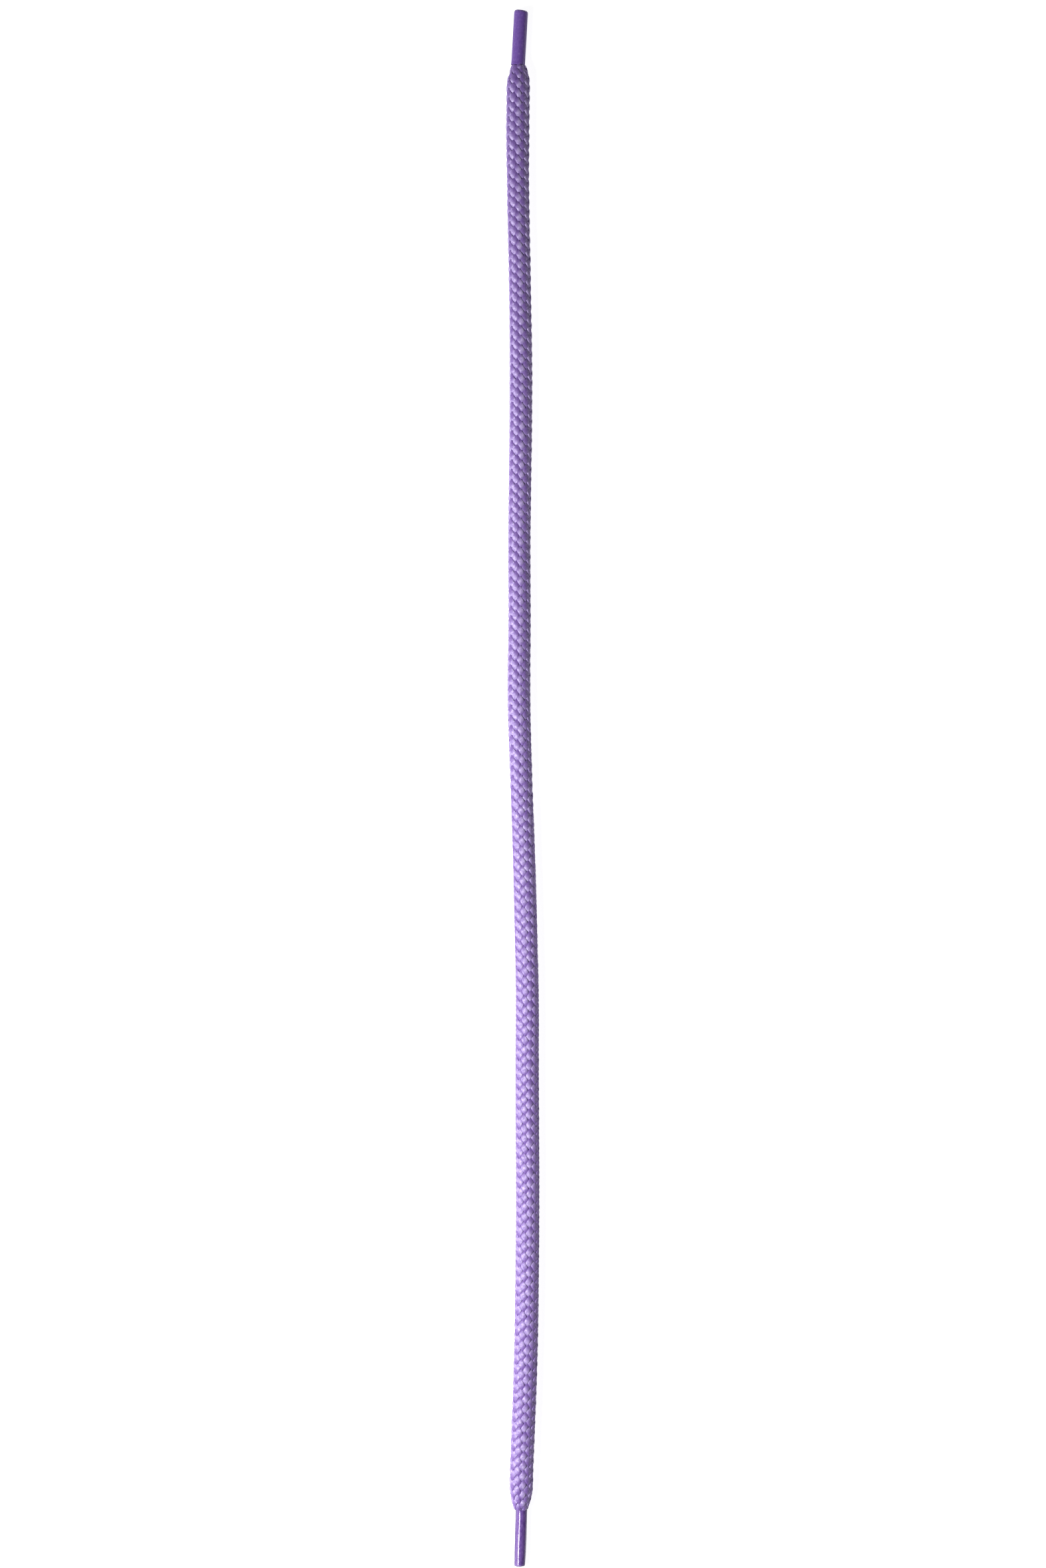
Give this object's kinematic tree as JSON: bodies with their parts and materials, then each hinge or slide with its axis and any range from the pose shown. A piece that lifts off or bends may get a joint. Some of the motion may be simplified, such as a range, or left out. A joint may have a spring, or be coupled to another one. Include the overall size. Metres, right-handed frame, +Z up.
{
  "type": "shoelace",
  "caption": "Braided shoelace laid out straight, with a round film aglet gripping each end.",
  "frame": {"origin": "middle of the footprint of the straight lace, on the table it lies on", "axes": "+Y along the lace towards its wide aglet, +X across it, +Z up from the table"},
  "size_m": [0.0094, 0.4499, 0.0055],
  "materials": {
    "sheath_yarn": "bright multifilament polyester, braided two over two",
    "core_yarn": "dull textured polyester",
    "aglet_film": "clear film over purple yarn, satin on the wide aglet and glossy on the slim one"
  },
  "bodies": {
    "root": {"braided_sheath": "sheath_yarn", "core_yarn_1": "core_yarn", "core_yarn_2": "core_yarn", "core_yarn_3": "core_yarn", "core_yarn_4": "core_yarn", "core_yarn_5": "core_yarn", "core_yarn_6": "core_yarn", "core_yarn_7": "core_yarn", "core_yarn_8": "core_yarn", "core_yarn_9": "core_yarn", "core_yarn_10": "core_yarn", "wide_aglet_film": "aglet_film", "slim_aglet_film": "aglet_film"}
  },
  "joints": []
}
